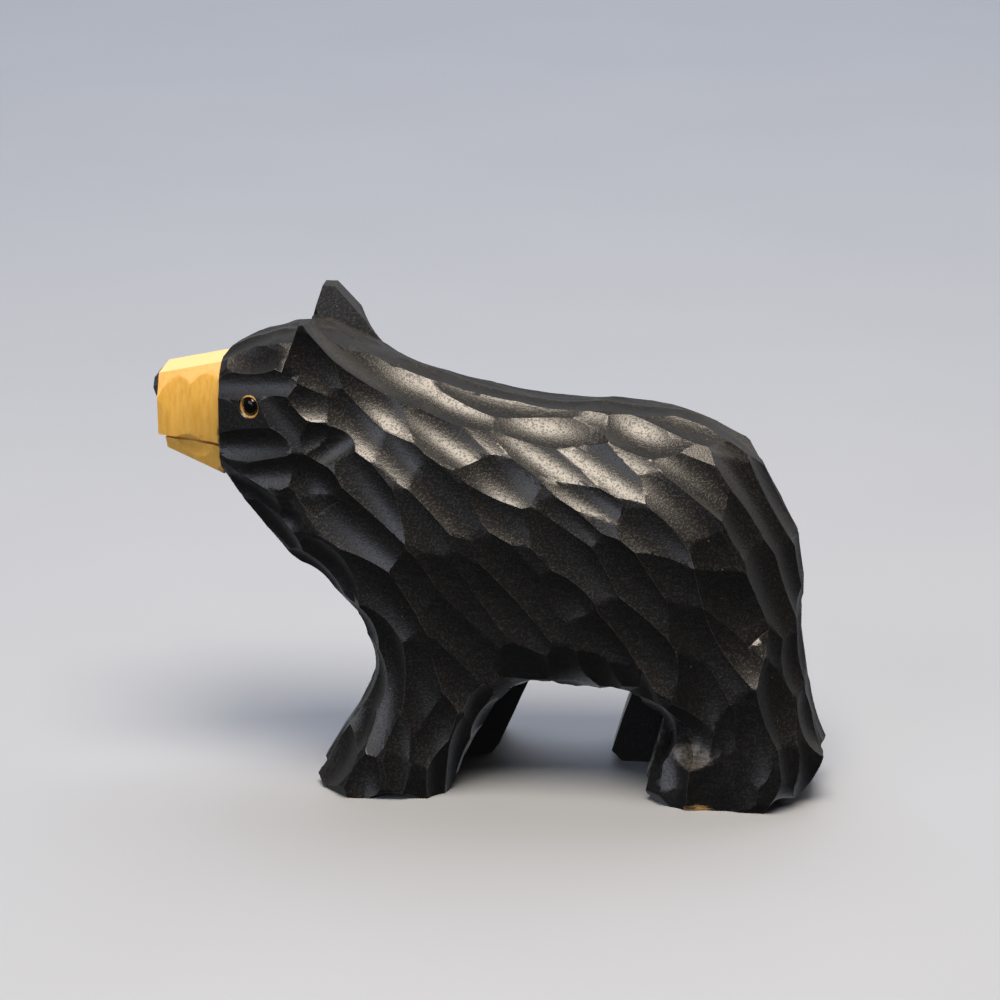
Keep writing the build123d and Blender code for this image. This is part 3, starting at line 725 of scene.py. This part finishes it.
class BEAR_OT_finish_muzzle(bpy.types.Operator):
    """Pares the muzzle, paints it ochre and dabs the nose black"""
    bl_idname = "bear.finish_muzzle"
    bl_label = "Finish the muzzle"

    def execute(self, context):
        settings = context.scene.bear_carving
        random = np.random.default_rng(settings.seed)
        piece = block_copy("muzzle", "pared_muzzle")
        block = BVHTree.FromObject(piece, context.evaluated_depsgraph_get())
        cuts = []
        for view in ("left", "right"):
            for stroke in muzzle_strokes:
                lie = mean_skin(block, *listed_stroke(view, stroke))
                roll = random.uniform(-1, 1) * settings.roll if lie else 0
                cut = lie and clear_cut(lie, muzzle_level * MM, roll, block)
                if cut:
                    cuts.append(cut)
        carve(piece, cuts)
        piece.data.materials.append(ochre_paint(context.scene.bear_paint))
        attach(piece, "root")
        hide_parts("muzzle")
        nose = frame["nodes"]["nose"]
        nose.data.materials.clear()
        nose.data.materials.append(nose_paint())
        return {"FINISHED"}


class BEAR_OT_set_eyes(bpy.types.Operator):
    """Gives the two beads in their sockets a glossy black finish"""
    bl_idname = "bear.set_eyes"
    bl_label = "Set the eyes"

    def execute(self, context):
        gloss = bead_gloss()
        for node in eye_boxes:
            cad = frame["nodes"][node]
            cad.data.materials.clear()
            cad.data.materials.append(gloss)
        return {"FINISHED"}


class BEAR_OT_build_stage(bpy.types.Operator):
    """Lays the backdrop, hangs the lights and sets the camera"""
    bl_idname = "bear.build_stage"
    bl_label = "Build the stage"

    def execute(self, context):
        scene = context.scene
        # The backdrop is a profile, a floor that curves up into a wall, carried along X.
        turn = np.linspace(0, math.pi / 2, 24)
        bend, front, back, top, half_width = 0.45, -1.6, 1.1, 2.4, 2.2
        curve = np.stack([back + bend * np.sin(turn), bend * (1 - np.cos(turn))], -1)
        profile = np.concatenate([[(front, 0)], curve, [(back + bend, top)]])
        ends = [np.insert(profile, 0, x, axis=1) for x in (-half_width, half_width)]
        count = len(profile)
        faces = [(i, i + count, i + count + 1, i + 1) for i in range(count - 1)]
        sweep = mesh_object("backdrop", np.concatenate(ends), faces)
        scene.collection.objects.link(sweep)
        sweep.data.shade_smooth()
        sweep.data.materials.append(backdrop_paper(scene.bear_paint))
        sweep.visible_glossy = False

        for name, spot, aim, size, power, colour in (
            ("softbox_overhead", (0.03, -0.19, 0.60), (0, 0, 0.04), 0.34, 6.0, "#fff1de"),
            ("window_left", (-0.60, -0.70, 0.40), (0, 0, 0.04), 0.7, 2.8, "#eaf0ff"),
            ("lamp_right", (0.60, 0.50, 0.60), (0, 0, 0.02), 0.7, 1.2, "#fff4e4"),
            ("lamp_behind", (-0.10, 0.75, 1.00), (-0.05, 0.55, 0), 1.1, 15.0, "#f2f5ff"),
        ):
            light = bpy.data.lights.new(name, "AREA")
            light.shape = "SQUARE"
            light.size = size
            light.energy = power
            light.color = linear(colour)
            lamp = bpy.data.objects.new(name, light)
            lamp.location = spot
            lamp.rotation_euler = (Vector(aim) - Vector(spot)).to_track_quat("-Z", "Y").to_euler()
            lamp.visible_glossy = name != "lamp_behind"     # it lights the paper, not the paint
            scene.collection.objects.link(lamp)

        # The room is dim except for the pale wall behind the bear.
        world = bpy.data.worlds.new("studio")
        world.use_nodes = True
        tree = world.node_tree
        tree.nodes.clear()
        looked = add(tree, "ShaderNodeTexCoord").outputs["Generated"]
        way = add(tree, "ShaderNodeSeparateXYZ", None, {0: looked})
        behind = add(tree, "ShaderNodeMapRange", {1: 0.1, 2: 0.8, 3: 0.05, 4: 0.45},
                     {0: way.outputs["Y"]})
        sky = add(tree, "ShaderNodeBackground", {0: rgba(linear("#e2e6ee"))},
                  {1: behind.outputs[0]})
        add(tree, "ShaderNodeOutputWorld", None, {0: sky.outputs[0]})
        scene.world = world
        scene.view_settings.view_transform = "Standard"

        azimuth, elevation, distance = math.radians(6.5), math.radians(17), 0.52
        middle = (cad_low + cad_high) / 2
        aim = Vector((middle.x + 0.8 * MM, 0, middle.z + 5.2 * MM))
        back = Vector((math.sin(azimuth) * math.cos(elevation),
                       -math.cos(azimuth) * math.cos(elevation), math.sin(elevation)))
        camera = bpy.data.objects.new("camera", bpy.data.cameras.new("camera"))
        camera.data.lens = 133.47
        camera.data.sensor_width = 36
        camera.location = aim + back * distance
        camera.rotation_euler = (-back).to_track_quat("-Z", "Y").to_euler()
        scene.collection.objects.link(camera)
        scene.camera = camera
        return {"FINISHED"}


class BEAR_PT_sidebar(bpy.types.Panel):
    """Lists the steps of the bear in the order they are done"""
    bl_idname = "BEAR_PT_sidebar"
    bl_label = "Carved bear"
    bl_space_type = "VIEW_3D"
    bl_region_type = "UI"
    bl_category = "Bear"

    def draw(self, context):
        for group in (context.scene.bear_carving, context.scene.bear_paint):
            for name in group.__annotations__:
                self.layout.prop(group, name)
        for step in steps:
            self.layout.operator(step.bl_idname)


steps = (BEAR_OT_carve_body, BEAR_OT_finish_muzzle, BEAR_OT_set_eyes, BEAR_OT_build_stage)
classes = (BearCarvingSettings, BearPaintSettings, *steps, BEAR_PT_sidebar)


def register():
    for each in classes:
        bpy.utils.register_class(each)
    bpy.types.Scene.bear_carving = PointerProperty(type=BearCarvingSettings)
    bpy.types.Scene.bear_paint = PointerProperty(type=BearPaintSettings)


def unregister():
    del bpy.types.Scene.bear_paint
    del bpy.types.Scene.bear_carving
    for each in reversed(classes):
        bpy.utils.unregister_class(each)


def main():
    register()
    bpy.ops.bear.carve_body()
    bpy.ops.bear.finish_muzzle()
    bpy.ops.bear.set_eyes()
    bpy.ops.bear.build_stage()


if __name__ == "__main__":
    main()
